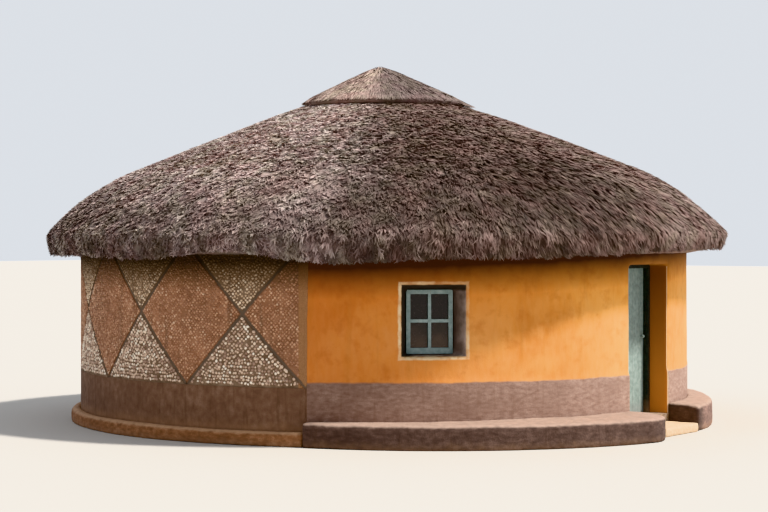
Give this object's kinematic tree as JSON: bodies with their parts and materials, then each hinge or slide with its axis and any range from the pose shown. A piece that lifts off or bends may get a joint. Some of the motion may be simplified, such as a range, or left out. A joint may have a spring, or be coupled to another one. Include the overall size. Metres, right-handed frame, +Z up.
{
  "type": "rondavel hut",
  "caption": "Round clay-walled hut with a domed thatched roof on poles, a boarded door between low sitting ledges, and deep-set windows.",
  "frame": {"origin": "on the ground, on the axis of the round wall", "axes": "+Z up along the axis of the round wall; the door faces -Y; +X is to the right of someone who faces the door from outside"},
  "size_m": [8.9296, 9.1876, 4.6828],
  "materials": {
    "earth_floor": "smeared earth, matt",
    "sandstone": "worn sandstone, matt",
    "mauve_clay": "smoothed clay, matt",
    "ledge_clay": "smoothed clay, matt, worn pale on top",
    "dark_clay": "smoothed dark clay, matt",
    "red_clay": "smoothed red clay, matt",
    "pebbled_clay": "clay set with small pebbles",
    "ochre_plaster": "hand-smoothed ochre clay plaster, matt",
    "teal_paint": "painted boards, worn",
    "frame_wood": "dark weathered wood",
    "iron": "forged, dark",
    "pane_glass": "clear",
    "poles": "peeled poles",
    "thatch": "weathered grass thatch",
    "cap_straw": "newer, paler grass"
  },
  "bodies": {
    "hut": {"floor": "earth_floor", "doorstep": "sandstone", "bench_left": "ledge_clay", "bench_right": "ledge_clay", "plinth_front_left": "mauve_clay", "plinth_front_right": "mauve_clay", "plinth_left": "dark_clay", "plinth_back": "dark_clay", "plinth_right": "dark_clay", "kerb_left": "red_clay", "kerb_back": "red_clay", "kerb_right": "red_clay", "wall_over_door": "ochre_plaster", "wall_front_left": "ochre_plaster", "wall_front_right": "ochre_plaster", "wall_under_window_left": "ochre_plaster", "wall_under_window_right": "ochre_plaster", "wall_over_window_left": "ochre_plaster", "wall_over_window_right": "ochre_plaster", "wall_side_left": "ochre_plaster", "wall_side_right": "ochre_plaster", "wall_back_1": "pebbled_clay", "wall_back_2": "pebbled_clay", "wall_back_3": "pebbled_clay", "wall_back_4": "pebbled_clay", "wall_back_5": "pebbled_clay", "door_frame": "frame_wood", "hinge_pins": "iron", "window_frame_left": "teal_paint", "window_frame_right": "teal_paint", "window_panes_left": "pane_glass", "window_panes_right": "pane_glass", "wall_plate": "poles", "rafters": "poles", "battens": "poles", "apex_block": "poles", "thatch_front": "thatch", "thatch_right": "thatch", "thatch_back": "thatch", "thatch_left": "thatch", "thatch_cap": "cap_straw"},
    "door": {"door_boards": "teal_paint", "door_ledges": "teal_paint", "door_hinges": "iron", "door_latch": "iron"}
  },
  "joints": [
    {"name": "door_hinge", "type": "hinge", "parent": "hut", "child": "door", "pos_m": [-0.45, -3.62, 1.1], "axis": [0, 0, 1], "range_deg": [-1.6, 88]}
  ]
}
